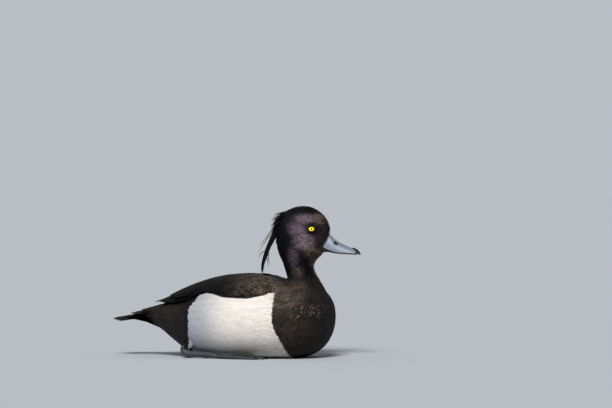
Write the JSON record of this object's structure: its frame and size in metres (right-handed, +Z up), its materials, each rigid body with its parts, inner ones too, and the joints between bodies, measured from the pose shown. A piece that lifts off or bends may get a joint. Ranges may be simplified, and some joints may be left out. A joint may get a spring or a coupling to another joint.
{
  "type": "tufted duck, still model",
  "caption": "Life-size still model of a drake tufted duck afloat: head in profile with drooping crest, folded wings, short tail, tucked webbed feet.",
  "frame": {"origin": "on the flat under the belly that the model rests on, in the body's middle plane", "axes": "+X towards the breast, +Y towards the bird's left, +Z up"},
  "size_m": [0.2696, 0.133, 0.1594],
  "materials": {
    "body_feathers": "soft blackish-brown feathers with white flanks and belly",
    "head_feathers": "short silky black feathers with a purple gloss",
    "wing_feathers": "dark brown vanes, finely vermiculated",
    "tail_feathers": "blackish-brown vanes",
    "bill_horn": "smooth pale blue-grey horn",
    "nail_horn": "smooth black horn",
    "eye": "wet, golden-yellow iris and black pupil",
    "foot_skin": "scaled blue-grey skin with blackish webs"
  },
  "bodies": {
    "root": {"torso": "body_feathers", "neck": "head_feathers", "head": "head_feathers", "crest": "head_feathers", "tail": "tail_feathers", "wing_left": "wing_feathers", "wing_right": "wing_feathers", "bill_upper": "bill_horn", "bill_lower": "nail_horn", "bill_nail": "nail_horn", "eye_left": "eye", "eye_right": "eye", "leg_left": "foot_skin", "leg_right": "foot_skin", "foot_left": "foot_skin", "foot_right": "foot_skin"}
  },
  "joints": []
}
